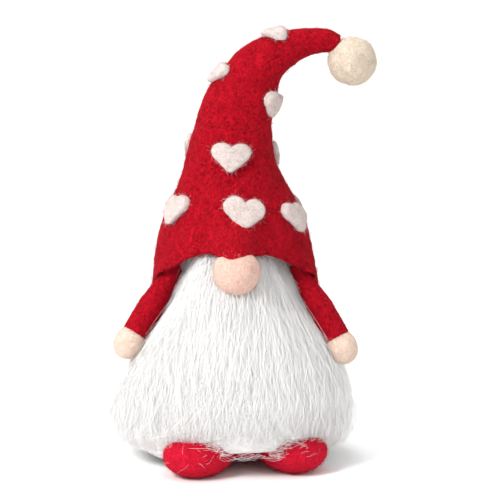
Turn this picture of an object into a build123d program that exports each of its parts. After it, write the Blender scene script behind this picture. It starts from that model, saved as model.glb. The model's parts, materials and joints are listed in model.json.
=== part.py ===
from build123d import *
from math import cos, radians, sin
import os

# Felted wool tomte: a pear-shaped body under a tall stuffed hat that curls over at the top.
# Millimetres. The origin is on the floor under the middle of the body, +Z is up and the face looks
# along -Y. Left and right are as seen from the front, so left is -X.

os.makedirs("parts", exist_ok=True)

# ---- driving dimensions ----
FELT = 2.5                # thickness of the wet-felted skin of the body and of the hat
GAP = 0.55                # air between pieces that move against each other
THREAD_RADIUS = 0.6       # strong linen thread that ties on the arms, the nose and the bobble
STITCH_DEPTH = 14       # how far a shoulder thread runs into the body
KNOT_PROUD = 0.4        # how far its knot stands off the arm
WIRE_RADIUS = 0.8         # soft wire that holds the curl of the hat

BODY_TOP = 134            # top of the body, inside the hat
BODY_SIDE = [             # (radius, height) points up the side of the body
    (48, 3), (54.5, 8), (58.5, 15), (60.5, 28), (59, 48), (51, 69), (37, 91), (30, 107), (23.5, 123),
    (12, 132),
]

HAT_SECTIONS = [          # (x, z, radius, lean from upright towards +X in degrees)
    (-0.5, 88, 45.6, 0),
    (-0.5, 103, 44.2, 0),
    (-1, 120, 41.3, 0),
    (-1, 137, 35.3, 0),
    (-2, 152, 28.3, 1),
    (-2.8, 164, 24, 2),
    (-1.7, 177, 21.4, 8),
    (2.6, 196, 18.5, 15),
    (8.8, 207.6, 15.6, 28),
    (15.2, 215.8, 13, 45),
    (23.3, 221.4, 10.8, 57),
    (32.5, 225.5, 8.5, 67),
    (40.4, 227.2, 7.3, 80),
    (47.2, 227.1, 6.3, 95),
    (54.4, 225.4, 5.2, 108),
]
BEND_START, BEND_END = 11, 12.5   # the stations between which the wired tip bends
HEM = [                           # (y, z) points along the hem, seen from the side
    (-46, 120.5), (-40, 115.5), (-30, 108), (-19, 102), (-8, 97), (5, 94.5), (25, 93), (48, 92.5),
]

NOSE_RADIUS = 12.3
NOSE_CENTRE = (0.5, -47.5, 109.8)
POMPOM_RADIUS = 13
POMPOM_CENTRE = (62.5, 0, 216.3)

ARM_AZIMUTH = 25          # how far in front of the side each arm hangs, in degrees
SHOULDER_OUT = 37         # distance of the shoulder from the body's axis
SHOULDER_HEIGHT = 105
HAND_OUT = 63
HAND_HEIGHT = {"left": 67.5, "right": 65}
HAND_RADIUS = 8.4
CUFF = 5.5                # the sleeve ends this far before the middle of the hand
ARM_ROOT_RADIUS = 4.4
ARM_RADIUS = 7.2
ARM_SWING = 35            # the arms swing forwards this far, in degrees
ARM_LIFT = 20             # tilt of the swing axis, which lifts a swinging arm off the beard

FOOT_LENGTH, FOOT_WIDTH, FOOT_HEIGHT = 47, 35, 24
FOOT_CENTRE = {"left": (-18.5, -46), "right": (28.5, -36)}
FOOT_TURN = 32            # toes point outwards by this much, in degrees

PAD_RADIUS, PAD_BACK, PAD_THICKNESS = 28, 6, 8      # PAD_BACK is how far the pad lies behind the axis
BRIDGE_LOW, BRIDGE_HIGH = 6, 14                     # the strip between the feet
BRIDGE_FRONT, BRIDGE_BACK = -40, -18
NOTCH_SIDES = (-14, 22)   # the body is cut away this far to each side, in front of the strip

BEARD_DEPTH = 6.5         # how far the beard stands off the body
BEARD_ROWS = [            # (name, low cut height, high cut height, half width in degrees)
    ("beard_top_row", 72, 150, 46),
    ("beard_middle_row", 36, 72, 50),
    ("beard_bottom_row", -20, 36, 84),
]
ROW_OVERLAP = 16          # how far each row of locks hangs over the roots of the row below
ROW_KNEE = 45           # distance from the middle at which a row's edges turn down more steeply
ROW_REACH = 80          # past the outermost wool

HEART_WIDTH, HEART_RISE = 20.5, 3.2
HEARTS = [                # (name, station along the hat, turn from the front towards +X, tilt, size)
    ("heart_01", 5.3, 0, 0, 1.0),
    ("heart_02", 3.15, 9, 12, 1.08),
    ("heart_03", 3.1, -63, -8, 1.0),
    ("heart_04", 2.85, 63, 10, 1.0),
    ("heart_05", 7.3, 64, 10, 0.85),
    ("heart_06", 7.65, -82, 0, 0.8),
    ("heart_07", 10.3, -82, 0, 0.75),
    ("heart_08", 2.9, 124, -8, 1.0),
    ("heart_09", 3.05, 184, 6, 1.0),
    ("heart_10", 2.85, 242, -4, 1.0),
    ("heart_11", 5.2, 118, 5, 0.9),
    ("heart_12", 5.3, 238, -7, 0.9),
    ("heart_13", 7.5, 182, 0, 0.8),
]


def save(builder, name):
    builder.part.label = name
    export_step(builder.part, f"parts/{name}.step")


def section_plane(number):
    """The plane across the hat at a section number, which may fall between two sections."""
    low = min(int(number), len(HAT_SECTIONS) - 2)
    share = number - low
    x, z, _, lean = [a + (b - a) * share for a, b in zip(HAT_SECTIONS[low], HAT_SECTIONS[low + 1])]
    return Plane(origin=(x, 0, z), x_dir=(0, 1, 0), z_dir=(sin(radians(lean)), 0, cos(radians(lean))))


def radial_plane(azimuth):
    """An upright plane through the body's axis: local x runs outwards, local y runs up."""
    a = radians(azimuth)
    return Plane(origin=(0, 0, 0), x_dir=(cos(a), sin(a), 0), z_dir=(sin(a), -cos(a), 0))


def hat_solid(shrink):
    """The whole hat, from below the hem to the tip, with its surface moved inwards."""
    with BuildPart() as hat:
        for number, (_, _, radius, _) in enumerate(HAT_SECTIONS):
            with BuildSketch(section_plane(number)):
                Circle(radius - shrink)
        loft()
    return hat.part


def body_solid(inset, rise):
    """The pear-shaped body with its side moved by inset and its two ends pulled in by rise."""
    side = [(radius - inset, height) for radius, height in BODY_SIDE]
    bottom, top = BODY_SIDE[0][1] + rise, BODY_TOP - rise
    side[0] = (side[0][0], bottom)
    with BuildPart() as body:
        with BuildSketch(Plane.XZ):
            with BuildLine():
                Spline(*side, (0, top))
                Polyline((0, top), (0, bottom), side[0])
            make_face()
        revolve(axis=Axis.Z)
    return body.part


def foot_solid(side):
    """An egg lying on its side with the blunt end at the toe, flattened, with a flat sole."""
    turn = radians(FOOT_TURN) * (-1 if side == "left" else 1)
    forwards = Vector(sin(turn), -cos(turn), 0)
    middle = Vector(*FOOT_CENTRE[side], 0.47 * FOOT_HEIGHT)
    with BuildPart() as foot:
        for share in (-0.97, -0.8, -0.45, 0, 0.45, 0.8, 0.97):
            girth = (1 - share * share) ** 0.5 * (1 + 0.14 * share)
            across = Plane(origin=middle + forwards * (share * FOOT_LENGTH / 2),
                           x_dir=forwards.cross(Vector(0, 0, 1)), z_dir=forwards)
            with BuildSketch(across):
                Ellipse(girth * FOOT_WIDTH / 2, girth * FOOT_HEIGHT / 2)
        loft()
        split(bisect_by=Plane.XY, keep=Keep.TOP)
    return foot.part


def arm_frame(side, swing=0):
    """The shoulder, the swing axis, and the arm's direction and length at a swing angle."""
    sign = -1 if side == "left" else 1
    a, lift = radians(ARM_AZIMUTH), radians(ARM_LIFT)
    outward = Vector(sign * cos(a), -sin(a), 0)
    forward = Vector(-sign * sin(a), -cos(a), 0)
    shoulder = outward * SHOULDER_OUT + Vector(0, 0, SHOULDER_HEIGHT)
    reach = outward * HAND_OUT + Vector(0, 0, HAND_HEIGHT[side]) - shoulder
    along = reach.normalized()
    normal = forward.cross(along) * sign
    axis = (normal * cos(lift) - forward * sin(lift)) * -sign
    along = along.rotate(Axis((0, 0, 0), axis), swing)
    return shoulder, axis, along, reach.length


def arm_solid(side, swing=0, extra=0):
    """The rolled felt sleeve with its hand, tapering to the shoulder, grown outwards by extra."""
    shoulder, axis, along, length = arm_frame(side, swing)
    root, full, cuff = ARM_ROOT_RADIUS + extra, ARM_RADIUS + extra, length - CUFF
    with BuildPart() as arm:
        with BuildSketch(Plane(origin=shoulder, x_dir=along, z_dir=axis)):
            with BuildLine():
                ThreePointArc((-root, 0), (-root * sin(radians(45)), root * cos(radians(45))), (0, root))
                Polyline((0, root), (0.5 * length, full), (cuff, full), (cuff, 0), (-root, 0))
            make_face()
        revolve(axis=Axis(shoulder, along))
        with Locations(shoulder + along * length):
            Sphere(HAND_RADIUS + extra)
    return arm.part


def thread(start, end, knot=0):
    """A tight linen thread between two points, with a flat knot past its far end if knot is a radius."""
    start, end = Vector(*start), Vector(*end)
    with BuildPart() as line:
        with BuildSketch(Plane(origin=start, z_dir=end - start)):
            Circle(THREAD_RADIUS)
        extrude(amount=(end - start).length)
        if knot:
            with BuildSketch(Plane(origin=end, z_dir=end - start)):
                Circle(knot)
            extrude(amount=1.4 * knot)
    return line.part


# ---- volumes that shape the pieces, none of them a piece itself ----
hat_volume = hat_solid(0)
hat_cavity = hat_solid(FELT)
body_volume = body_solid(0, 0)
body_inside = body_solid(FELT, FELT)
bend_start, bend_end = section_plane(BEND_START), section_plane(BEND_END)
feet_volumes = [foot_solid("left"), foot_solid("right")]

with BuildPart() as nose_ball:
    with Locations(NOSE_CENTRE):
        Sphere(NOSE_RADIUS)

with BuildPart() as pompom_ball:
    with Locations(POMPOM_CENTRE):
        Sphere(POMPOM_RADIUS)

# The wire runs up the middle of the hat and round the curl, in straight runs and round bends.
with BuildPart() as wire_run:
    with BuildLine() as wire_path:
        FilletPolyline((-2, 0, 146), (-1.5, 0, 190), (20, 0, 222), (50, 0, 227.5), radius=24)
    with BuildSketch(Plane(origin=wire_path.line @ 0, z_dir=wire_path.line % 0)):
        Circle(WIRE_RADIUS)
    sweep()
wire_volume = wire_run.part

nose_thread = thread((0.5, -16, 108.5), (0.5, -46, 109.5))
pompom_thread = thread((50, 0, 225), (61, 0, 217.5), knot=1.4)
shoulder_threads = {}
for side in ("left", "right"):
    shoulder, axis, _, _ = arm_frame(side)
    outward = axis if axis.Z > 0 else axis * -1
    knot_place = shoulder + outward * (ARM_ROOT_RADIUS + KNOT_PROUD)
    shoulder_threads[side] = thread(shoulder - outward * STITCH_DEPTH, knot_place, knot=1.3)

# ---- base pad: red felt under the body, with the strip in front that carries both feet ----
bridge_middle = sum(NOTCH_SIDES) / 2
with BuildPart() as base_pad:
    with BuildSketch(Plane.XY):
        with Locations((0, PAD_BACK)):
            Circle(PAD_RADIUS)
    extrude(amount=PAD_THICKNESS)
    fillet(base_pad.edges().group_by(Axis.Z)[0], radius=2.5)
    with BuildSketch(Plane.XY.offset(BRIDGE_LOW)):
        with Locations((bridge_middle, (BRIDGE_FRONT + BRIDGE_BACK) / 2)):
            RectangleRounded(46, BRIDGE_BACK - BRIDGE_FRONT, 6)
    extrude(amount=BRIDGE_HIGH - BRIDGE_LOW)
    for foot in feet_volumes:
        add(foot, mode=Mode.SUBTRACT)
save(base_pad, "base_pad")

with BuildPart() as front_notch:
    with BuildSketch(Plane.XY):
        with Locations((bridge_middle, BRIDGE_BACK - 30)):
            Rectangle(NOTCH_SIDES[1] - NOTCH_SIDES[0], 60)
    extrude(amount=BRIDGE_HIGH)

# ---- body: firm wool core in a white felt skin ----
with BuildPart() as seated_body:
    add(body_volume)
    for cutter in (base_pad.part, front_notch.part, *feet_volumes, nose_ball.part, nose_thread):
        add(cutter, mode=Mode.SUBTRACT)
    for tie in shoulder_threads.values():
        add(tie, mode=Mode.SUBTRACT)

with BuildPart() as body_core:
    add(seated_body.part)
    add(body_inside, mode=Mode.INTERSECT)
save(body_core, "body_core")

with BuildPart() as body_skin:
    add(seated_body.part)
    add(body_inside, mode=Mode.SUBTRACT)
save(body_skin, "body_skin")

# ---- feet ----
for side, foot in zip(("left", "right"), feet_volumes):
    with BuildPart() as shoe:
        add(foot)
    save(shoe, f"foot_{side}")

# ---- arms: a rolled felt sleeve, a felt ball for the hand, and the thread that ties them on ----
for side in ("left", "right"):
    shoulder, axis, along, length = arm_frame(side)
    hand_centre = shoulder + along * length
    with BuildPart() as sleeve:
        add(arm_solid(side))
        with Locations(hand_centre):
            Sphere(HAND_RADIUS, mode=Mode.SUBTRACT)
        with BuildSketch(Plane(origin=shoulder, z_dir=axis)):
            Circle(THREAD_RADIUS + 0.1)
        extrude(amount=2 * ARM_ROOT_RADIUS, both=True, mode=Mode.SUBTRACT)
    save(sleeve, f"arm_{side}")
    with BuildPart() as hand:
        with Locations(hand_centre):
            Sphere(HAND_RADIUS)
    save(hand, f"hand_{side}")
    with BuildPart() as shoulder_thread:
        add(shoulder_threads[side])
    save(shoulder_thread, f"shoulder_thread_{side}")

# ---- hat: felt shell over wool stuffing, then a solid felt tip that bends with the wire ----
with BuildPart() as under_hem:
    with BuildSketch(Plane.YZ):
        with BuildLine():
            Spline(*HEM)
            Polyline(HEM[-1], (HEM[-1][0], 80), (HEM[0][0], 80), HEM[0])
        make_face()
    extrude(amount=60, both=True)

with BuildPart() as hat_cone:
    add(hat_volume)
    split(bisect_by=bend_start, keep=Keep.BOTTOM)
    add(hat_cavity, mode=Mode.SUBTRACT)
    add(under_hem.part, mode=Mode.SUBTRACT)
    for side in ("left", "right"):
        add(shoulder_threads[side], mode=Mode.SUBTRACT)
        for step in range(6):
            add(arm_solid(side, swing=ARM_SWING * step / 5, extra=GAP), mode=Mode.SUBTRACT)
    add(wire_volume, mode=Mode.SUBTRACT)
save(hat_cone, "hat_cone")

with BuildPart() as hat_stuffing:
    add(hat_cavity)
    split(bisect_by=bend_start, keep=Keep.BOTTOM)
    split(bisect_by=Plane.XY.offset(BODY_SIDE[-2][1]), keep=Keep.TOP)
    add(body_volume, mode=Mode.SUBTRACT)
    add(wire_volume, mode=Mode.SUBTRACT)
save(hat_stuffing, "hat_stuffing")

with BuildPart() as hat_bend:
    add(hat_volume)
    split(bisect_by=bend_start, keep=Keep.TOP)
    split(bisect_by=bend_end, keep=Keep.BOTTOM)
    add(wire_volume, mode=Mode.SUBTRACT)
save(hat_bend, "hat_bend")

with BuildPart() as hat_tip:
    add(hat_volume)
    split(bisect_by=bend_end, keep=Keep.TOP)
    add(wire_volume, mode=Mode.SUBTRACT)
    add(pompom_thread, mode=Mode.SUBTRACT)
save(hat_tip, "hat_tip")

with BuildPart() as hat_wire:
    add(wire_volume)
save(hat_wire, "hat_wire")

with BuildPart() as pompom:
    add(pompom_ball.part)
    add(hat_tip.part, mode=Mode.SUBTRACT)
    add(pompom_thread, mode=Mode.SUBTRACT)
save(pompom, "pompom")

with BuildPart() as bobble_thread:
    add(pompom_thread)
save(bobble_thread, "pompom_thread")

# ---- nose: a felt ball tucked up under the hem and tied back into the body ----
with BuildPart() as nose:
    add(nose_ball.part)
    add(hat_cone.part, mode=Mode.SUBTRACT)
    add(nose_thread, mode=Mode.SUBTRACT)
save(nose, "nose")

with BuildPart() as nose_tie:
    add(nose_thread)
save(nose_tie, "nose_thread")

beard_foot = (BODY_SIDE[1][0] + 2, 10)
beard_root = (BODY_SIDE[-3][0] + BEARD_DEPTH - 1.5, 121)

# ---- beard: three rows of long wool locks, each hanging over the roots of the row below ----
for name, low, high, half_width in BEARD_ROWS:
    outer = [(radius + BEARD_DEPTH, height) for radius, height in BODY_SIDE[2:-2]]
    with BuildPart() as locks:
        with BuildSketch(radial_plane(-90 - half_width)):
            with BuildLine():
                Spline(beard_foot, *outer, beard_root)
                Polyline(beard_root, (10, beard_root[1]), (10, beard_foot[1]), beard_foot)
            make_face()
            with BuildLine():
                sides = []
                for edge in (low, high):
                    sides.append([(0, edge + 2 * ROW_OVERLAP), (ROW_KNEE, edge + ROW_OVERLAP),
                                  (ROW_REACH, edge - ROW_OVERLAP)])
                Polyline(*sides[0], *reversed(sides[1]), close=True)
            make_face(mode=Mode.INTERSECT)
        revolve(axis=Axis.Z, revolution_arc=2 * half_width)
        neighbours = (body_volume, nose_ball.part, nose_thread, base_pad.part, front_notch.part, *feet_volumes)
        for cutter in neighbours:
            add(cutter, mode=Mode.SUBTRACT)
    save(locks, name)

# ---- hearts: white felt pads laid round the hat ----
hat_padded = hat_solid(-HEART_RISE)
with BuildPart() as heart_layer:
    add(hat_padded)
    add(hat_volume, mode=Mode.SUBTRACT)

for name, station, turn, tilt, size in HEARTS:
    across = section_plane(station)
    out = across.x_dir * -cos(radians(turn)) + across.y_dir * -sin(radians(turn))
    up, level = across.z_dir, across.z_dir.cross(out)
    x_dir = level * cos(radians(tilt)) - up * sin(radians(tilt))
    lobe = HEART_WIDTH * size / 4
    with BuildPart() as heart:
        add(heart_layer.part)
        with BuildSketch(Plane(origin=across.origin, x_dir=x_dir, z_dir=out)):
            with Locations((-0.96 * lobe, 0.45 * lobe), (0.96 * lobe, 0.45 * lobe)):
                Circle(1.06 * lobe)
            with Locations((0, -1.25 * lobe)):
                Circle(0.5 * lobe)
            with BuildLine():
                point = [(-1.85 * lobe, -0.1 * lobe), (-0.4 * lobe, -1.55 * lobe), (0.4 * lobe, -1.55 * lobe)]
                Polyline(*point, (1.85 * lobe, -0.1 * lobe), (0, lobe), close=True)
            make_face()
        extrude(amount=60, mode=Mode.INTERSECT)
    save(heart, name)
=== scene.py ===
import json
import math

import bmesh
import bpy
import numpy as np
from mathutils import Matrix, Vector


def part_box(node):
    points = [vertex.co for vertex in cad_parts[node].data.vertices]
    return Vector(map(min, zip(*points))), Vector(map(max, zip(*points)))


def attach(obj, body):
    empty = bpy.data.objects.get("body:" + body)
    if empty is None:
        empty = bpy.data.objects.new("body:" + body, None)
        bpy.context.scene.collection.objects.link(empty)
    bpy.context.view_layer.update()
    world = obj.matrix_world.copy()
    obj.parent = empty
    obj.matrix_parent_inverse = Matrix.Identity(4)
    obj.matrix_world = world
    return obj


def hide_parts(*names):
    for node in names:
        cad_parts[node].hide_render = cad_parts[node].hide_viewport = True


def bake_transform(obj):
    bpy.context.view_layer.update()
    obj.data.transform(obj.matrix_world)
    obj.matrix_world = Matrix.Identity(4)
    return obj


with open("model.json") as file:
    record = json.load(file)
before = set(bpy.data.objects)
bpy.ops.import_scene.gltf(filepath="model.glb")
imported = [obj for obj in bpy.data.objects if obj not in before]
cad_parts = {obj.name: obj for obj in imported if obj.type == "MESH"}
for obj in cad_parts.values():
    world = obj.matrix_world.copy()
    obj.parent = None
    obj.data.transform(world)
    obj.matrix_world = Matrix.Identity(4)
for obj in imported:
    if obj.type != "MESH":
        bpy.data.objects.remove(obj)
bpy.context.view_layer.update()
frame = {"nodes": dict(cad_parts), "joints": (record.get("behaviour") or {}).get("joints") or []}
MM = 0.001


# ================================ noise and meshes ================================

def lattice(cell, seed):
    """A repeatable value from 0 to 1 for each whole-numbered cell."""
    h = (cell[:, 0] * 73856093) ^ (cell[:, 1] * 19349663) ^ (cell[:, 2] * 83492791) ^ (seed * 2654435761)
    h = (h ^ (h >> 13)) * 1274126177
    return ((h ^ (h >> 16)) & 0xFFFF) / 65535.0


def noise(points, size, seed, octaves=3):
    """Smooth noise from -1 to 1 with lumps of about this size, in millimetres."""
    total, weight, norm = 0.0, 1.0, 0.0
    p = np.asarray(points) / size
    for octave in range(octaves):
        low = np.floor(p).astype(np.int64)
        f = p - low
        f = f * f * (3 - 2 * f)
        value = 0.0
        for corner in range(8):
            step = np.array([corner & 1, corner >> 1 & 1, corner >> 2 & 1])
            share = np.prod(np.where(step == 1, f, 1 - f), axis=1)
            value = value + share * lattice(low + step, seed + octave)
        total = total + weight * (2 * value - 1)
        norm += weight
        weight *= 0.5
        p = p * 2.03
    return total / norm


def smooth_step(x):
    x = np.clip(x, 0, 1)
    return x * x * (3 - 2 * x)


def make_mesh(name, verts, faces):
    """A smooth-shaded mesh from points in millimetres and faces, all with as many corners."""
    mesh = bpy.data.meshes.new(name)
    verts = np.asarray(verts, dtype=np.float32) * MM
    faces = np.asarray(faces, dtype=np.int32)
    mesh.vertices.add(len(verts))
    mesh.vertices.foreach_set("co", verts.ravel())
    mesh.loops.add(faces.size)
    mesh.loops.foreach_set("vertex_index", faces.ravel())
    mesh.polygons.add(len(faces))
    mesh.polygons.foreach_set("loop_start", np.arange(0, faces.size, faces.shape[1], dtype=np.int32))
    mesh.update(calc_edges=True)
    mesh.validate()
    mesh.polygons.foreach_set("use_smooth", np.full(len(mesh.polygons), True))
    piece = bpy.data.objects.new(name, mesh)
    bpy.context.scene.collection.objects.link(piece)
    return piece


def points_of(piece):
    """A piece's points, in millimetres."""
    co = np.empty(len(piece.data.vertices) * 3, dtype=np.float32)
    piece.data.vertices.foreach_get("co", co)
    return co.reshape(-1, 3).astype(float) / MM


def normals_of(piece):
    n = np.empty(len(piece.data.vertices) * 3, dtype=np.float32)
    piece.data.vertex_normals.foreach_get("vector", n)
    return n.reshape(-1, 3).astype(float)


def set_points(piece, points):
    piece.data.vertices.foreach_set("co", (np.asarray(points) * MM).astype(np.float32).ravel())
    piece.data.update()


def grid_faces(rows, columns, wrap):
    """Four-cornered faces of a grid of points, joined round its columns if wrap is true."""
    i = np.arange(rows - 1)[:, None]
    j = np.arange(columns if wrap else columns - 1)[None, :]
    k = (j + 1) % columns
    corners = [i * columns + j, i * columns + k, (i + 1) * columns + k, (i + 1) * columns + j]
    return np.stack([np.broadcast_to(c, (rows - 1, j.size)) for c in corners], axis=-1).reshape(-1, 4)


def capped_grid(rows, columns):
    """Triangles of a tube of rows rings, closed at both ends by one point each, which come last."""
    quads = grid_faces(rows, columns, True)
    sides = np.vstack([quads[:, [0, 1, 2]], quads[:, [0, 2, 3]]])
    ring = np.arange(columns)
    following = (ring + 1) % columns
    first, last = rows * columns, rows * columns + 1
    start = np.stack([following, ring, np.full(columns, first)], axis=1)
    top = (rows - 1) * columns
    end = np.stack([top + ring, top + following, np.full(columns, last)], axis=1)
    return np.vstack([sides, start, end])


def remeshed(name, nodes, voxel, passes=2):
    """One smooth closed mesh over copies of CAD nodes, which themselves stay as they are."""
    verts, faces, offset = [], [], 0
    for node in nodes:
        source = frame["nodes"][node]
        mesh = source.data
        co = points_of(source)
        mesh.calc_loop_triangles()
        tri = np.empty(len(mesh.loop_triangles) * 3, dtype=np.int32)
        mesh.loop_triangles.foreach_get("vertices", tri)
        verts.append(co)
        faces.append(tri.reshape(-1, 3) + offset)
        offset += len(co)
    rough = make_mesh(name + "_rough", np.vstack(verts), np.vstack(faces))
    shrink = rough.modifiers.new("voxels", "REMESH")
    shrink.mode = "VOXEL"
    shrink.voxel_size = voxel * MM
    relax = rough.modifiers.new("relax", "SMOOTH")
    relax.factor = 0.5
    relax.iterations = passes
    depsgraph = bpy.context.evaluated_depsgraph_get()
    mesh = bpy.data.meshes.new_from_object(rough.evaluated_get(depsgraph))
    mesh.name = name
    piece = bpy.data.objects.new(name, mesh)
    bpy.context.scene.collection.objects.link(piece)
    bpy.data.objects.remove(rough)
    mesh.polygons.foreach_set("use_smooth", np.full(len(mesh.polygons), True))
    return piece


def felted(piece, lumps, lump_size, nap=0.12, nap_size=1.3, seed=1):
    """Gives a smooth surface the uneven, pitted skin of wet-felted wool."""
    p, n = points_of(piece), normals_of(piece)
    rise = lumps * noise(p, lump_size, seed) + nap * noise(p, nap_size, seed + 7, octaves=2)
    set_points(piece, p + n * rise[:, None])


def box_centre(node):
    low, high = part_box(node)
    return np.array([(a + b) / 2 / MM for a, b in zip(low, high)])


def box_size(node):
    low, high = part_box(node)
    return np.array([(b - a) / MM for a, b in zip(low, high)])


# ================================ camera, lights and floor ================================

VIEW_ELEVATION = 10
VIEW_DISTANCE = 1.6
VIEW_WIDTH = 0.27175      # what the picture's width shows at the figure
VIEW_TARGET = (0.0076, 0, 0.1131)

FLOOR_REACH = 9000        # millimetres


def add_camera():
    data = bpy.data.cameras.new("camera")
    camera = bpy.data.objects.new("camera", data)
    bpy.context.scene.collection.objects.link(camera)
    e = math.radians(VIEW_ELEVATION)
    height = VIEW_TARGET[2] + VIEW_DISTANCE * math.sin(e)
    camera.location = (VIEW_TARGET[0], -VIEW_DISTANCE * math.cos(e), height)
    camera.rotation_euler = (math.pi / 2 - e, 0, 0)
    data.lens = data.sensor_width * VIEW_DISTANCE / VIEW_WIDTH
    data.clip_start, data.clip_end = 0.05, 20
    bpy.context.scene.camera = camera


def add_area_light(name, place, target, size, power):
    data = bpy.data.lights.new(name, "AREA")
    data.shape, data.size, data.energy = "DISK", size, power
    light = bpy.data.objects.new(name, data)
    bpy.context.scene.collection.objects.link(light)
    light.location = place
    toward = [b - a for a, b in zip(place, target)]
    light.rotation_euler = Vector(toward).to_track_quat("-Z", "Y").to_euler()


def add_studio():
    world = bpy.data.worlds.new("studio")
    bpy.context.scene.world = world
    world.use_nodes = True
    nodes, links = world.node_tree.nodes, world.node_tree.links
    seen = nodes.new("ShaderNodeLightPath")
    # White to look at, a little softer as a light.
    strength = nodes.new("ShaderNodeMapRange")
    strength.inputs["To Min"].default_value = 0.94
    strength.inputs["To Max"].default_value = 1.0
    links.new(seen.outputs["Is Camera Ray"], strength.inputs["Value"])
    links.new(strength.outputs["Result"], nodes["Background"].inputs["Strength"])
    nodes["Background"].inputs["Color"].default_value = (1, 1, 1, 1)
    add_area_light("key", (-0.75, -0.85, 0.95), (0, 0, 0.1), 0.45, 17)
    add_area_light("top", (-0.1, 0.15, 1.3), (0, 0, 0.1), 0.7, 7)
    bpy.context.scene.view_settings.view_transform = "Standard"
    reach = FLOOR_REACH
    corners = [(-reach, -reach, 0), (reach, -reach, 0), (reach, reach, 0), (-reach, reach, 0)]
    floor = make_mesh("floor", corners, [(0, 1, 2, 3)])
    material = bpy.data.materials.new("floor")
    material.use_nodes = True
    shader = material.node_tree.nodes["Principled BSDF"]
    shader.inputs["Base Color"].default_value = (0.9, 0.9, 0.9, 1)
    shader.inputs["Roughness"].default_value = 0.9
    shader.inputs["Emission Color"].default_value = (1, 1, 1, 1)
    place = material.node_tree.nodes.new("ShaderNodeTexCoord")
    away = material.node_tree.nodes.new("ShaderNodeVectorMath")
    away.operation = "LENGTH"
    # The floor fades to white far off.
    brighter = material.node_tree.nodes.new("ShaderNodeMapRange")
    brighter.inputs["From Min"].default_value = 0.25
    brighter.inputs["From Max"].default_value = 1.6
    brighter.inputs["To Min"].default_value = 0.0
    brighter.inputs["To Max"].default_value = 0.35
    material.node_tree.links.new(place.outputs["Object"], away.inputs[0])
    material.node_tree.links.new(away.outputs["Value"], brighter.inputs["Value"])
    material.node_tree.links.new(brighter.outputs["Result"], shader.inputs["Emission Strength"])
    floor.data.materials.append(material)


add_camera()
add_studio()

# ================================ materials ================================

HAIR_SPACING = 0.9        # millimetres, of the fine bumps in every felt


def wool(name, dark, light, size=2.5, pits=0.5, sheen=0.1, sheen_tint=(1, 1, 1)):
    """Felted wool: two tones in swirls about size millimetres across, with a pitted, hairy surface."""
    material = bpy.data.materials.new(name)
    material.use_nodes = True
    nodes, links = material.node_tree.nodes, material.node_tree.links
    shader = nodes["Principled BSDF"]
    shader.inputs["Roughness"].default_value = 0.95
    shader.inputs["Specular IOR Level"].default_value = 0.05
    shader.inputs["Sheen Weight"].default_value = sheen
    shader.inputs["Sheen Roughness"].default_value = 0.5
    shader.inputs["Sheen Tint"].default_value = (*sheen_tint, 1)
    place = nodes.new("ShaderNodeTexCoord")

    swirls = nodes.new("ShaderNodeTexNoise")
    swirls.inputs["Scale"].default_value = 1 / (size * MM)
    swirls.inputs["Detail"].default_value = 6
    swirls.inputs["Roughness"].default_value = 0.65
    swirls.inputs["Distortion"].default_value = 1.6
    tones = nodes.new("ShaderNodeValToRGB")
    tones.color_ramp.elements[0].position, tones.color_ramp.elements[1].position = 0.36, 0.66
    tones.color_ramp.elements[0].color = (*dark, 1)
    tones.color_ramp.elements[1].color = (*light, 1)
    links.new(place.outputs["Object"], swirls.inputs["Vector"])
    links.new(swirls.outputs["Fac"], tones.inputs["Fac"])
    links.new(tones.outputs["Color"], shader.inputs["Base Color"])

    hairs = nodes.new("ShaderNodeTexNoise")
    hairs.inputs["Scale"].default_value = 1 / (HAIR_SPACING * MM)
    hairs.inputs["Detail"].default_value = 5
    hairs.inputs["Distortion"].default_value = 2.5
    bump = nodes.new("ShaderNodeBump")
    bump.inputs["Strength"].default_value = pits
    bump.inputs["Distance"].default_value = 0.0006
    links.new(place.outputs["Object"], hairs.inputs["Vector"])
    links.new(hairs.outputs["Fac"], bump.inputs["Height"])
    links.new(bump.outputs["Normal"], shader.inputs["Normal"])
    return material


def fibre(name, colour):
    """One plain colour for thin fibres, whose pattern is their own shape."""
    material = bpy.data.materials.new(name)
    material.use_nodes = True
    shader = material.node_tree.nodes["Principled BSDF"]
    shader.inputs["Base Color"].default_value = (*colour, 1)
    shader.inputs["Roughness"].default_value = 0.8
    shader.inputs["Specular IOR Level"].default_value = 0.08
    return material


HAT_RED = wool("hat_red_felt", (0.1672, 0.0011, 0.0046), (0.456, 0.0046, 0.0152),
               2.6, 0.8, 0.03, (1.0, 0.1, 0.12))
SLEEVE_RED = wool("sleeve_red_felt", (0.1824, 0.0015, 0.0053), (0.456, 0.0053, 0.0167),
                  2.4, 0.8, 0.03, (1.0, 0.1, 0.12))
SHOE_RED = wool("shoe_red_felt", (0.38, 0.0038, 0.0167), (0.6232, 0.0122, 0.038),
                2.2, 0.8, 0.04, (1.0, 0.2, 0.25))
HEART_WHITE = wool("heart_white_felt", (0.456, 0.3572, 0.3344), (0.6536, 0.5852, 0.5548),
                   1.8, 0.8)
BODY_WHITE = wool("body_white_felt", (0.70, 0.695, 0.685), (0.82, 0.815, 0.805),
                  3.0, 0.5)
BEARD_WHITE = wool("beard_white_wool", (0.93, 0.925, 0.91), (0.97, 0.967, 0.96),
                   2.0, 0.2)
NOSE_PEACH = wool("nose_peach_felt", (0.5624, 0.3192, 0.2584), (0.6992, 0.5168, 0.4408),
                  1.9, 0.7)
HAND_CREAM = wool("hand_cream_felt", (0.5776, 0.4028, 0.3116), (0.6992, 0.5776, 0.494),
                  1.8, 0.7)
BOBBLE_CREAM = wool("bobble_cream_felt", (0.4864, 0.3876, 0.2888), (0.6688, 0.5928, 0.5016),
                    2.2, 0.7)
CORE_WOOL = wool("core_wool", (0.72, 0.70, 0.64), (0.85, 0.83, 0.78), 4.0, 0.5)
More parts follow.
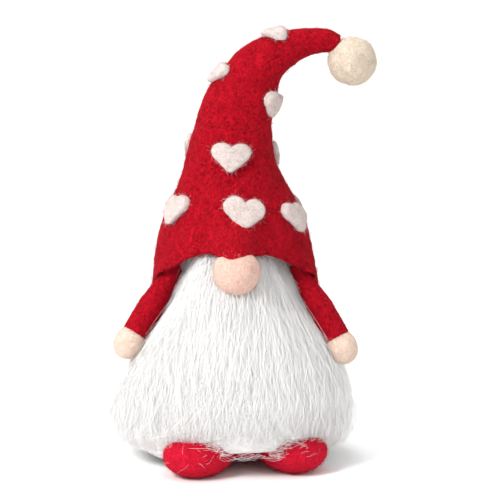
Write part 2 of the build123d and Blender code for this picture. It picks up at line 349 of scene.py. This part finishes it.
THREAD = wool("linen_thread", (0.60, 0.55, 0.46), (0.78, 0.73, 0.65), 1.0, 0.3)
RED_FIBRE = fibre("red_fibre", (0.3952, 0.0046, 0.0152))
ROSE_FIBRE = fibre("rose_fibre", (0.456, 0.038, 0.0532))
SHOE_FIBRE = fibre("shoe_red_fibre", (0.57, 0.0114, 0.0342))
WHITE_FIBRE = fibre("white_fibre", (0.98, 0.975, 0.965))
HEART_FIBRE = fibre("heart_fibre", (0.6384, 0.5472, 0.5244))
PEACH_FIBRE = fibre("peach_fibre", (0.684, 0.5016, 0.418))
CREAM_FIBRE = fibre("cream_fibre", (0.6536, 0.5624, 0.456))

WIRE_STEEL = bpy.data.materials.new("wire_steel")
WIRE_STEEL.use_nodes = True
WIRE_SHADER = WIRE_STEEL.node_tree.nodes["Principled BSDF"]
WIRE_SHADER.inputs["Metallic"].default_value = 1
WIRE_SHADER.inputs["Roughness"].default_value = 0.4


# ================================ fibres ================================

ROOT_DEPTH = 0.15         # how deep in the felt a stray hair starts, in millimetres
ABOVE_FLOOR = 0.3         # no hair goes lower


def strands(name, paths, radius, material):
    """Thin closed fibres, three-sided and pointed at the far end, along an array of paths."""
    count, steps = paths.shape[:2]
    along_path = np.gradient(paths, axis=1)
    along_path /= np.linalg.norm(along_path, axis=2, keepdims=True) + 1e-9
    aside = np.cross(along_path, np.array([0.31, 0.57, 0.76]))
    aside /= np.linalg.norm(aside, axis=2, keepdims=True) + 1e-9
    across = np.cross(along_path, aside)
    taper = np.linspace(1, 0.45, steps)[None, :, None] * np.reshape(radius, (-1, 1, 1))
    rings = []
    for corner in range(3):
        a = 2 * math.pi * corner / 3
        rings.append(paths + taper * (math.cos(a) * aside + math.sin(a) * across))
    rings = np.stack(rings, axis=2)[:, :-1].reshape(count, -1, 3)
    verts = np.concatenate([rings, paths[:, -1:]], axis=1).reshape(-1, 3)
    each = 3 * (steps - 1) + 1
    faces = []
    for row in range(steps - 2):
        for corner in range(3):
            a, b = 3 * row + corner, 3 * row + (corner + 1) % 3
            faces += [(a, b, b + 3), (a, b + 3, a + 3)]
    last = 3 * (steps - 2)
    faces += [(last + corner, last + (corner + 1) % 3, each - 1) for corner in range(3)]
    faces.append((2, 1, 0))
    faces = np.array(faces)
    all_faces = (faces[None] + (np.arange(count) * each)[:, None, None]).reshape(-1, 3)
    piece = make_mesh(name, verts, all_faces)
    piece.data.materials.append(material)
    return piece


def scatter(piece, count, rng):
    """Points spread evenly over a mesh, with the surface's normals there."""
    mesh = piece.data
    mesh.calc_loop_triangles()
    tri = np.empty(len(mesh.loop_triangles) * 3, dtype=np.int32)
    mesh.loop_triangles.foreach_get("vertices", tri)
    corners = points_of(piece)[tri.reshape(-1, 3)]
    normals = np.cross(corners[:, 1] - corners[:, 0], corners[:, 2] - corners[:, 0])
    area = np.linalg.norm(normals, axis=1)
    pick = rng.choice(len(area), count, p=area / area.sum())
    a, b = rng.random((2, count, 1))
    beyond = a + b > 1
    a, b = np.where(beyond, 1 - a, a), np.where(beyond, 1 - b, b)
    chosen = corners[pick]
    points = chosen[:, 0] + a * (chosen[:, 1] - chosen[:, 0]) + b * (chosen[:, 2] - chosen[:, 0])
    return points, normals[pick] / (area[pick, None] + 1e-12)


def fuzz(name, piece, count, length, radius, material, seed, lift=0.35, curl=0.8, keep=None, steps=5):
    """Short stray hairs that lie about on felt, where keep allows, some of them standing off it."""
    rng = np.random.default_rng(seed)
    points, normals = scatter(piece, count, rng)
    if keep is not None:
        chosen = keep(points)
        points, normals = points[chosen], normals[chosen]
    count = len(points)
    flat = np.cross(normals, rng.normal(size=(count, 3)))
    flat /= np.linalg.norm(flat, axis=1, keepdims=True) + 1e-9
    rise = lift * rng.random((count, 1)) ** 2 * 2.2
    start = flat + rise * normals
    start /= np.linalg.norm(start, axis=1, keepdims=True)
    sideways = np.cross(normals, flat) * rng.normal(size=(count, 1)) * curl
    bend = sideways - normals * rng.random((count, 1)) * rise * 0.9
    long = length * (0.4 + 1.2 * rng.random((count, 1)))
    s = np.linspace(0, 1, steps)[None, :, None]
    swing = np.sin(s * math.pi * 2 + rng.random((count, 1, 1)) * 6)
    wave = swing * 0.08 * long[:, None] * np.cross(normals, start)[:, None]
    curve = s * start[:, None] + s * s * 0.5 * bend[:, None]
    paths = (points - ROOT_DEPTH * normals)[:, None] + long[:, None] * curve + wave
    paths[..., 2] = np.maximum(paths[..., 2], ABOVE_FLOOR)
    return strands(name, paths, radius * (0.6 + 0.8 * rng.random(count)), material)


# ================================ the hat's shape ================================

# The hat's middle line, in millimetres: across, up, radius there, and the tilt of the section in degrees.
HAT_STATIONS = np.array([
    (-0.5, 88, 45.6, 0), (-0.5, 103, 44.2, 0), (-1, 120, 41.3, 0), (-1, 137, 35.3, 0), (-2, 152, 28.3, 1),
    (-2.8, 164, 24, 2), (-1.7, 177, 21.4, 8), (2.6, 196, 18.5, 15), (8.8, 207.6, 15.6, 28),
    (15.2, 215.8, 13, 45), (23.3, 221.4, 10.8, 57), (32.5, 225.5, 8.5, 67), (40.4, 227.2, 7.3, 80),
    (47.2, 227.1, 6.3, 95), (54.4, 225.4, 5.2, 108)], dtype=float)
HAT_FOOT = HAT_STATIONS[0, 1]
HEM_DEPTH = 45            # how far in front of the middle line the hem is, in millimetres


def through(stations, steps=30):
    """A smooth curve through every station."""
    padded = np.vstack([2 * stations[0] - stations[1], stations, 2 * stations[-1] - stations[-2]])
    t = np.linspace(0, 1, steps, endpoint=False)[:, None]
    parts = []
    for a, b, c, d in zip(padded, padded[1:], padded[2:], padded[3:]):
        parts.append(0.5 * (2 * b + (c - a) * t + (2 * a - 5 * b + 4 * c - d) * t ** 2
                            + (3 * b - a - 3 * c + d) * t ** 3))
    return np.vstack(parts + [stations[-1:]])


HAT_CURVE = through(HAT_STATIONS)
HAT_WAY = np.concatenate([[0], np.cumsum(np.linalg.norm(np.diff(HAT_CURVE[:, :2], axis=0), axis=1))])


def hat_points(way, turn, shrink=0.0):
    """Points on the hat, from the distance along its middle line and the turn from the front towards +X."""
    x, z, radius, lean = (np.interp(way, HAT_WAY, HAT_CURVE[:, k]) for k in range(4))
    lean = np.radians(lean)
    radius = radius - shrink
    side = radius * np.sin(turn)
    return np.stack([x + side * np.cos(lean), -radius * np.cos(turn), z - side * np.sin(lean)], axis=-1)


def hem_height(y):
    """The hem, lowest at the back and highest over the nose."""
    return 93.5 + 27 * np.clip((5 - y) / 51, 0, 1) ** 1.4


def joint_called(name):
    return next(joint for joint in frame["joints"] if joint["name"] == name)


def joint_place(name):
    return np.array(joint_called(name)["pos_m"], dtype=float) / MM


def turned(points, axis, degrees):
    """Points turned about an axis through the origin."""
    a = math.radians(degrees)
    axis = axis / np.linalg.norm(axis)
    along_axis = axis * (points @ axis)
    return points * math.cos(a) + np.cross(axis, points) * math.sin(a) + along_axis * (1 - math.cos(a))


ARM_SWING = 35            # degrees
ARM_ROOT_RADIUS = 4.4
ARM_WIDENING = 2.8
ARM_ROOM = 2.0
SHOULDER_TOP = 125        # the hat is left alone above this
ARMS = {}
for side in ("left", "right"):
    ARMS[side] = (joint_place(f"arm_{side}_swing"), box_centre(f"hand_{side}"))


def arm_lines():
    """Where each arm's middle line starts and goes, at rest and on its way up."""
    for side, (shoulder, hand) in ARMS.items():
        axis = np.array(joint_called(f"arm_{side}_swing")["axis"], dtype=float)
        for degrees in (0, ARM_SWING / 3, 2 * ARM_SWING / 3, ARM_SWING):
            yield shoulder, turned(hand - shoulder, axis, degrees)


def clear_of_arms(points):
    """Moves points outwards where an arm would touch them, at rest or swung."""
    moved = points.copy()
    for shoulder, line in arm_lines():
        share = np.clip((moved - shoulder) @ line / (line @ line), 0, 1)
        away = moved - (shoulder + share[:, None] * line)
        distance = np.linalg.norm(away, axis=1)
        needed = ARM_ROOT_RADIUS + ARM_WIDENING * share + ARM_ROOM
        push = np.clip(needed - distance, 0, None)
        outwards = moved * (1, 1, 0)
        outwards = outwards / np.linalg.norm(outwards, axis=1, keepdims=True)
        moved = moved + push[:, None] * outwards * (moved[:, 2:] < SHOULDER_TOP)
    return moved


def finish_piece(piece, material, body, nodes=()):
    """Gives a piece its material, hides the CAD nodes it replaces and sets what it rides on."""
    piece.data.materials.clear()
    piece.data.materials.append(material)
    if nodes:
        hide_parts(*nodes)
    if body == "bend":
        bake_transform(piece)
    else:
        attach(piece, body)


def make_hat():
    """The whole hat, from some way up inside, round the lip of the hem and up to the tip."""
    rows, inner_rows, columns = 330, 26, 264
    inner_reach, lip_start, thick = 26, 1.6, 3.0
    turn = np.linspace(-math.pi, math.pi, columns, endpoint=False)
    wander = 0.9 * noise(np.stack([turn * 40, turn * 0, turn * 0], 1), 22, 5)
    hem = hem_height(-HEM_DEPTH * np.cos(turn)) - HAT_FOOT + wander
    u = np.linspace(0, 1, rows)[:, None]
    outer = hat_points(hem + u * (HAT_WAY[-1] - hem), turn[None, :] + 0 * u)
    inner_way = hem + np.linspace(inner_reach, lip_start, inner_rows)[:, None]
    inside = hat_points(inner_way, turn[None, :] + np.zeros((inner_rows, 1)), thick)
    lip = []
    for a in (150, 115, 80, 45, 20):
        a = math.radians(a)
        way = hem + lip_start - 1.8 * math.sin(a)
        lip.append(hat_points(way, turn, thick / 2 * (1 - math.cos(a)))[None])
    grid = np.concatenate([inside, *lip, outer])
    points = grid.reshape(-1, 3)
    high = points[:, 2]
    front = np.arctan2(points[:, 0], -points[:, 1])
    over_nose = np.exp(-np.abs(front / 0.27) ** 2.6) * smooth_step((143 - high) / 24)
    points = points + np.array([0, -15.5, -2.2]) * over_nose[:, None]
    points = clear_of_arms(points)
    rim = smooth_step((115 - points[:, 2]) / 25)
    points[:, :2] *= 1 + 0.018 * rim[:, None] * noise(points * (1, 1, 0.4), 24, 12)[:, None]
    ends = np.stack([grid[0].mean(axis=0), grid[-1].mean(axis=0) + (2.2, 0, -0.8)])
    hat = make_mesh("hat", np.vstack([points, ends]), capped_grid(len(grid), columns))
    felted(hat, 0.75, 13, nap=0.0, seed=3)
    felted(hat, 0.42, 4.5, nap=0.16, nap_size=1.7, seed=4)
    return hat


HAT = make_hat()
HAT_HAIRS = ((RED_FIBRE, 8800, 3.6, 0.055), (RED_FIBRE, 8800, 4.5, 0.05), (ROSE_FIBRE, 3000, 4.0, 0.035))
for number, (material, count, length, radius) in enumerate(HAT_HAIRS):
    hairs = fuzz(f"hat_hairs_{number + 1}", HAT, count, length, radius, material, 20 + number,
                 keep=lambda p: p[:, 2] > 91)
    finish_piece(hairs, material, "bend")
finish_piece(HAT, HAT_RED, "bend", ("hat_cone", "hat_bend", "hat_tip"))


WIRE_RADIUS = 0.8
WIRE_FOOT = 146           # height at which the wire starts
UPRIGHT = 300             # the hat's curve still climbs at this point of it


def make_wire():
    """The bendable wire along the hat's middle line."""
    rows, columns = 80, 16
    first = np.interp(WIRE_FOOT, HAT_CURVE[:UPRIGHT, 1], HAT_WAY[:UPRIGHT])
    way = np.linspace(first, HAT_WAY[-1] - 5, rows)
    middle = np.stack([np.interp(way, HAT_WAY, HAT_CURVE[:, k]) for k in (0, 1)], 1)
    along = np.gradient(middle, axis=0)
    along /= np.linalg.norm(along, axis=1, keepdims=True)
    turn = np.linspace(0, 2 * math.pi, columns, endpoint=False)
    rings = np.empty((rows, columns, 3))
    rings[..., 0] = middle[:, None, 0] - along[:, None, 1] * WIRE_RADIUS * np.cos(turn)
    rings[..., 1] = WIRE_RADIUS * np.sin(turn)
    rings[..., 2] = middle[:, None, 1] + along[:, None, 0] * WIRE_RADIUS * np.cos(turn)
    ends = rings[[0, -1]].mean(axis=1)
    return make_mesh("wire", np.vstack([rings.reshape(-1, 3), ends]), capped_grid(rows, columns)[:, ::-1])


finish_piece(make_wire(), WIRE_STEEL, "bend", ("hat_wire",))


# ================================ felted lumps over the CAD's own shapes ================================

def ball(name, node, grow=0.0, lumps=0.35, seed=1, along=None, stretch=0.0):
    """A felted ball the size of a node, drawn out along a direction if one is given."""
    mesh = bpy.data.meshes.new(name)
    shape = bmesh.new()
    bmesh.ops.create_icosphere(shape, subdivisions=6, radius=1)
    shape.to_mesh(mesh)
    shape.free()
    piece = bpy.data.objects.new(name, mesh)
    bpy.context.scene.collection.objects.link(piece)
    mesh.polygons.foreach_set("use_smooth", np.full(len(mesh.polygons), True))
    unit = points_of(piece) * MM
    shaped = unit * (box_size(node) / 2 + grow)
    if along is not None:
        shaped = shaped + (unit @ along)[:, None] * along * stretch
    set_points(piece, shaped + box_centre(node))
    felted(piece, lumps, 6.5, nap=0.0, seed=seed)
    felted(piece, 0.16, 2.4, nap=0.07, nap_size=1.1, seed=seed + 3)
    return piece


def stray(piece, count, length, radius, material, seed, body, slot, **how):
    """Stray hairs over a piece, which go where it goes."""
    hairs = fuzz(piece.name + "_hairs", piece, count, length, radius, material, seed, **how)
    finish_piece(hairs, material, body)


nose = ball("nose_ball", "nose", 0.2, seed=31)
stray(nose, 1500, 2.6, 0.035, PEACH_FIBRE, 32, "root", "skin_felt")
finish_piece(nose, NOSE_PEACH, "root", ("nose",))

bobble = ball("bobble", "pompom", 0.1, 0.45, seed=33)
stray(bobble, 2600, 3.4, 0.04, CREAM_FIBRE, 34, "hat_tip", "cream_felt")
finish_piece(bobble, BOBBLE_CREAM, "hat_tip", ("pompom",))

for number, side in enumerate(("left", "right")):
    shoulder, wrist = ARMS[side]
    along = (wrist - shoulder) / np.linalg.norm(wrist - shoulder)
    arm_body = f"arm_{side}"

    hand = ball(f"{side}_hand", f"hand_{side}", -0.1, 0.3, 35 + number, along, 1.3)
    stray(hand, 800, 2.4, 0.035, PEACH_FIBRE, 40 + number, arm_body, "skin_felt")
    finish_piece(hand, HAND_CREAM, arm_body, (f"hand_{side}",))

    sleeve = remeshed(f"{side}_sleeve", [f"arm_{side}"], 0.42, 4)
    felted(sleeve, 0.35, 5, nap=0.12, nap_size=1.5, seed=44 + number)
    stray(sleeve, 1800, 3.2, 0.045, RED_FIBRE, 46 + number, arm_body, "hat_felt")
    finish_piece(sleeve, SLEEVE_RED, arm_body, (f"arm_{side}",))

    shoe = remeshed(f"{side}_shoe", [f"foot_{side}"], 0.6, 6)
    felted(shoe, 0.5, 8, nap=0.0, seed=50 + number)
    felted(shoe, 0.3, 3, nap=0.12, nap_size=1.4, seed=52 + number)
    stray(shoe, 2600, 3.4, 0.045, SHOE_FIBRE, 54 + number, "root", "red_felt")
    wisps = fuzz(f"{side}_shoe_wisps", shoe, 80, 6, 0.045, WHITE_FIBRE, 56 + number, lift=0.25, curl=1.2,
                 keep=lambda p: (p[:, 2] > 9) & (p[:, 1] < -30), steps=9)
    finish_piece(wisps, WHITE_FIBRE, "root")
    finish_piece(shoe, SHOE_RED, "root", (f"foot_{side}",))

PUFF = 0.7                # how far a heart is swollen, in millimetres
HEART_SHAPE = (0.96, 1.06, 0.84)
hearts = sorted(name for name in frame["nodes"] if name.startswith("heart_"))
for number, node in enumerate(hearts):
    heart = remeshed(node + "_puff", [node], 0.42, 42)
    p, n = points_of(heart), normals_of(heart)
    middle = box_centre(node)
    set_points(heart, middle + (p + PUFF * n - middle) * HEART_SHAPE)
    felted(heart, 0.45, 5, nap=0.0, seed=60 + number)
    felted(heart, 0.25, 2.2, nap=0.1, nap_size=1.1, seed=75 + number)
    stray(heart, 650, 3.0, 0.045, HEART_FIBRE, 80 + number, "root", "white_felt", lift=0.2)
    finish_piece(heart, HEART_WHITE, "root", (node,))

pad = remeshed("sole_pad", ["base_pad"], 0.8, 3)
felted(pad, 0.3, 5, nap=0.12, seed=95)
finish_piece(pad, SHOE_RED, "root", ("base_pad",))

skin = remeshed("body_felt", ["body_skin"], 1.0, 2)
felted(skin, 0.7, 12, nap=0.12, nap_size=1.6, seed=96)
finish_piece(skin, BODY_WHITE, "root", ("body_skin",))

for node in ("body_core", "hat_stuffing"):
    filling = remeshed(node + "_wool", [node], 1.6, 2)
    felted(filling, 0.2, 6, nap=0.0, seed=97)
    finish_piece(filling, CORE_WOOL, "root", (node,))

for node in ("nose_thread", "pompom_thread", "shoulder_thread_left", "shoulder_thread_right"):
    data = frame["nodes"][node].data
    data.materials.clear()
    data.materials.append(THREAD)


# ================================ the beard ================================

# The body's outline, as heights and radii in millimetres.
BODY_HEIGHTS = [3, 8, 15, 28, 48, 69, 91, 107, 123, 132]
BODY_RADII = [48, 54.5, 58.5, 60.5, 59, 51, 37, 30, 23.5, 12]
BEARD_LOW = 10
BEARD_TOP = 121
BEARD_HEIGHT = BEARD_TOP - BEARD_LOW
HAT_LINING = 4.0          # the beard stays this far inside the hat's outside


def beard_edge(z):
    """How far round from the front the beard reaches, in radians."""
    return np.radians(np.interp(z, [8, 40, 62, 90, 121], [96, 92, 74, 58, 52]))


def beard_radius(turn, z):
    """How far out the beard's surface is: full in front, thin at the sides, tucked in under the hat."""
    body = np.interp(z, BODY_HEIGHTS, BODY_RADII)
    front = np.interp(z, [8, 20, 40, 60, 75, 90, 105, 121], [59, 64, 66, 63.5, 58.5, 51.5, 45.5, 38])
    share = smooth_step((beard_edge(z) - np.abs(turn)) / np.where(turn > 0, 0.85, 0.6))
    front = np.where(turn > 0, front - 2.5 * smooth_step(turn / 1.2), front)
    tuft = 7 * np.exp(-((turn + 1.45) / 0.42) ** 2 - ((z - 25) / 15) ** 2)
    under_hat = np.interp(z, HAT_CURVE[:160, 1], HAT_CURVE[:160, 2]) - HAT_LINING
    radius = body + (front - body) * share + tuft
    covered = smooth_step((z - hem_height(-HEM_DEPTH * np.cos(turn)) + 3) / 4)
    return radius + (np.minimum(radius, under_hat) - radius) * covered


def beard_place(turn, z, lift):
    """Points this far above the beard's surface."""
    radius = beard_radius(turn, z) + lift
    return np.stack([radius * np.sin(turn), -radius * np.cos(turn), z], axis=-1)


def fringe_height(turn):
    """Where the thick wool ends: over the shoes it stops higher, and between them lower."""
    x = 62 * np.sin(turn)
    shoes = np.exp(-((x + 19) / 17) ** 4) + np.exp(-((x - 29) / 17) ** 4)
    between = 5.5 * np.exp(-((x - 5) / 20) ** 2)
    return np.where(np.cos(turn) > 0, BEARD_LOW + between + 10 * np.minimum(shoes, 1), BEARD_LOW)


def make_beard():
    """The thick wool under the long hairs, in streaks that run down."""
    rows, columns = 190, 360
    share = np.linspace(-1, 1, columns)
    v = np.linspace(0, 1, rows)[:, None]
    z = BEARD_LOW + v * BEARD_HEIGHT
    turn = share[None, :] * beard_edge(z)
    z = z + 0 * turn
    low = fringe_height(turn)
    z = low + (z - BEARD_LOW) / BEARD_HEIGHT * (BEARD_TOP - low)
    turn = share[None, :] * beard_edge(z)
    flat = np.stack([turn * 55, z * 0.10, 0 * z], axis=-1).reshape(-1, 3)
    locks = np.stack([turn * 55 + 2.5 * np.sin(z / 17), z * 0.22, 0 * z], axis=-1).reshape(-1, 3)
    rise = 0.25 * noise(flat, 1.6, 101) + 0.5 * noise(locks, 6, 102) + 0.9 * noise(locks, 18, 103) - 0.4
    rise = rise.reshape(z.shape) * smooth_step((1 - np.abs(share)) / 0.12)
    outer = beard_place(turn, z, rise)
    body = np.interp(z, BODY_HEIGHTS, BODY_RADII) - 1.5
    inner = np.stack([body * np.sin(turn), -body * np.cos(turn), z], axis=-1)[:, ::-1]
    grid = np.concatenate([outer, inner], axis=1)
    ends = grid[[0, -1]].mean(axis=1)
    return make_mesh("beard", np.vstack([grid.reshape(-1, 3), ends]), capped_grid(rows, 2 * columns))


def beard_hairs(name, count, radius, long, rough, material, seed, steps=8):
    """Locks of long wool that fall over the beard and spread out towards its sides."""
    rng = np.random.default_rng(seed)
    locks = 260
    lock_z = 14 + 106 * rng.random(locks) ** 0.85
    lock_turn = rng.uniform(-1, 1, locks) * (beard_edge(lock_z) - 0.03)
    lock = rng.integers(0, locks, count)
    z0 = np.clip(lock_z[lock] + rng.normal(0, 6, count), 13, BEARD_TOP)
    aside = rng.normal(0, 3.4, count) / 50
    turn0 = lock_turn[lock] + aside
    length = long * (0.55 + 0.9 * rng.random(count))
    t = np.linspace(0, 1, steps)[None, :]
    low = fringe_height(turn0) - 1.5 + 5 * rng.random(count) ** 1.5
    z = z0[:, None] - t * np.maximum(np.minimum(length, z0 - low), 3)[:, None]
    gather = lock_turn[lock][:, None] - turn0[:, None]
    spread = 0.16 * turn0[:, None] * t + rng.normal(0, 0.05, (count, 1)) * t ** 1.5
    spread = spread + rng.normal(0, 0.10, locks)[lock][:, None] * t
    wave = rough * 0.014 * np.sin(t * rng.uniform(3, 9, (count, 1)) + rng.uniform(0, 6, (count, 1)))
    turn = turn0[:, None] + 0.55 * gather * t + spread + wave
    lift = 0.25 + rough * rng.random((count, 1)) ** 2 * (2.2 * np.sin(t * 2.4) + 0.6 * t)
    return strands(name, beard_place(turn, z, lift), radius * (0.7 + 0.6 * rng.random(count)), material)


BEARD_ROWS = ("beard_top_row", "beard_middle_row", "beard_bottom_row")
BEARD_HAIRS = ((30, 0.6), (40, 1.0), (48, 1.5), (24, 1.4), (36, 2.6))      # length in millimetres, roughness
finish_piece(make_beard(), BEARD_WHITE, "root", BEARD_ROWS)
for number, (long, rough) in enumerate(BEARD_HAIRS):
    hairs = beard_hairs(f"beard_hairs_{number + 1}", 4900, 0.085, long, rough, WHITE_FIBRE, 110 + number)
    finish_piece(hairs, WHITE_FIBRE, "root")
